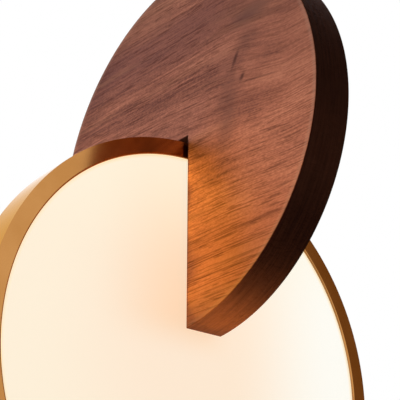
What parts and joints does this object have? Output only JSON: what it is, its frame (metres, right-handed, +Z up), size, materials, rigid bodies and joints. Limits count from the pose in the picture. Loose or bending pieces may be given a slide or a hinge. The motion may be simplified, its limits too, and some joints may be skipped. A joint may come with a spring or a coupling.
{
  "type": "led pendant lamp",
  "caption": "Pendant lamp of a walnut disc slotted over a brass-rimmed, edge-lit opal disc set square to it, hung from a cord gland with a limited swivel.",
  "frame": {"origin": "centre of the cord entry on top of the gland nut, where the hanging cord holds the lamp", "axes": "+Z up along the cord and the swivel axis, -Y out of the front lit face, X through the thickness of the walnut disc"},
  "size_m": [0.3, 0.271, 0.476],
  "materials": {
    "walnut": "oiled walnut, satin, open grain",
    "polished_brass": "polished, clear lacquered",
    "opal_acrylic": "satin opal acrylic, lit from inside",
    "clear_acrylic": "clear acrylic with a fine dot pattern",
    "steel": "zinc plated",
    "aluminium": "plain machined",
    "nylon": "natural nylon",
    "white_plastic": "matt white moulding",
    "silicone": "dark silicone",
    "felt": "dark brown felt",
    "circuit": "white solder mask",
    "led": "yellow phosphor",
    "wire": "red insulation"
  },
  "bodies": {
    "suspension": {"gland_nut": "polished_brass", "gland_collet": "nylon", "swivel_stem": "polished_brass", "travel_pin": "steel"},
    "lamp": {"swivel_cap": "polished_brass", "thrust_washer": "nylon", "swivel_housing": "polished_brass", "stop_pin": "steel", "tube_bush": "nylon", "hanger_tube": "steel", "wood_disc": "walnut", "saddle_plate": "steel", "saddle_screws": "steel", "lock_nut": "steel", "slot_pads": "felt", "rim_body": "polished_brass", "rear_bezel": "polished_brass", "bezel_screws": "polished_brass", "front_gasket": "silicone", "rear_gasket": "silicone", "front_diffuser": "opal_acrylic", "rear_diffuser": "opal_acrylic", "front_spacer": "white_plastic", "rear_spacer": "white_plastic", "light_guide": "clear_acrylic", "heat_ring": "aluminium", "led_strip": "circuit", "led_chips": "led", "hanger_block": "aluminium", "block_screws": "polished_brass", "feed_terminal": "nylon", "strip_leads": "wire"}
  },
  "joints": [
    {"name": "swivel", "type": "hinge", "parent": "suspension", "child": "lamp", "pos_m": [0, 0, -0.0218], "axis": [0, 0, 1], "range_deg": [-158, 158]}
  ]
}
